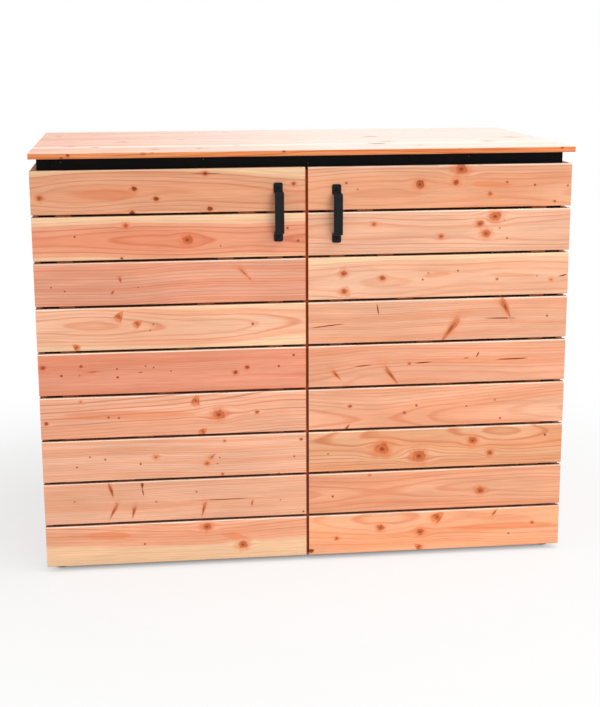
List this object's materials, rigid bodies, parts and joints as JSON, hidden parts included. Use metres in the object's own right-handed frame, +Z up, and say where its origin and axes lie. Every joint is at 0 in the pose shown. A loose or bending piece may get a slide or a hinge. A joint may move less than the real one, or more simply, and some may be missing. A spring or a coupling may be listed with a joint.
{
  "type": "wheelie bin store",
  "caption": "Boarded softwood store for wheelie bins on a square steel tube frame, with hinged doors, strap handles and a lifting lid.",
  "frame": {"origin": "middle of the footprint, at ground level", "axes": "+Z up, the doors face -Y, +X to the right seen from the front"},
  "size_m": [1.5, 0.876, 1.19],
  "materials": {
    "door_boards": "planed untreated reddish softwood",
    "wall_boards": "planed untreated reddish softwood",
    "lid_wood": "planed untreated reddish softwood",
    "inner_wood": "sawn and eased softwood",
    "frame_paint": "satin black powder coat",
    "handle_paint": "matt black powder coat",
    "hinge_steel": "zinc plated steel",
    "black_plastic": "moulded black plastic"
  },
  "bodies": {
    "store": {"front_left_post": "frame_paint", "front_right_post": "frame_paint", "rear_left_post": "frame_paint", "rear_right_post": "frame_paint", "rear_middle_post": "frame_paint", "front_top_rail": "frame_paint", "rear_top_rail": "frame_paint", "left_top_rail": "frame_paint", "right_top_rail": "frame_paint", "left_bottom_rail": "frame_paint", "right_bottom_rail": "frame_paint", "rear_bottom_rail": "frame_paint", "post_caps": "black_plastic", "foot_inserts": "black_plastic", "levelling_feet": "black_plastic", "magnetic_catches": "black_plastic", "left_side_boards": "wall_boards", "right_side_boards": "wall_boards", "rear_boards": "wall_boards", "wall_battens": "inner_wood", "centre_divider": "inner_wood", "floor_runner": "inner_wood", "divider_brackets": "hinge_steel", "left_hinge_frame_leaves": "hinge_steel", "right_hinge_frame_leaves": "hinge_steel", "lid_hinge_frame_leaves": "hinge_steel", "hinge_pins": "hinge_steel"},
    "left_door": {"left_door_board_1": "door_boards", "left_door_board_2": "door_boards", "left_door_board_3": "door_boards", "left_door_board_4": "door_boards", "left_door_board_5": "door_boards", "left_door_board_6": "door_boards", "left_door_board_7": "door_boards", "left_door_board_8": "door_boards", "left_door_board_9": "door_boards", "left_door_battens": "inner_wood", "left_door_brace": "inner_wood", "left_door_handle": "handle_paint", "left_handle_screws": "handle_paint", "left_hinge_door_leaves": "hinge_steel", "left_strike_plates": "hinge_steel"},
    "right_door": {"right_door_board_1": "door_boards", "right_door_board_2": "door_boards", "right_door_board_3": "door_boards", "right_door_board_4": "door_boards", "right_door_board_5": "door_boards", "right_door_board_6": "door_boards", "right_door_board_7": "door_boards", "right_door_board_8": "door_boards", "right_door_board_9": "door_boards", "right_door_battens": "inner_wood", "right_door_brace": "inner_wood", "right_door_handle": "handle_paint", "right_handle_screws": "handle_paint", "right_hinge_door_leaves": "hinge_steel", "right_strike_plates": "hinge_steel"},
    "lid": {"lid_boards": "lid_wood", "lid_battens": "inner_wood", "lid_hinge_lid_leaves": "hinge_steel"}
  },
  "joints": [
    {"name": "left_door_hinge", "type": "hinge", "parent": "store", "child": "left_door", "pos_m": [-0.743, -0.376, 0.579], "axis": [0, 0, -1], "range_deg": [0, 110]},
    {"name": "right_door_hinge", "type": "hinge", "parent": "store", "child": "right_door", "pos_m": [0.743, -0.376, 0.579], "axis": [0, 0, 1], "range_deg": [0, 110]},
    {"name": "lid_hinge", "type": "hinge", "parent": "store", "child": "lid", "pos_m": [0, 0.427, 1.168], "axis": [-1, 0, 0], "range_deg": [0, 95]}
  ]
}
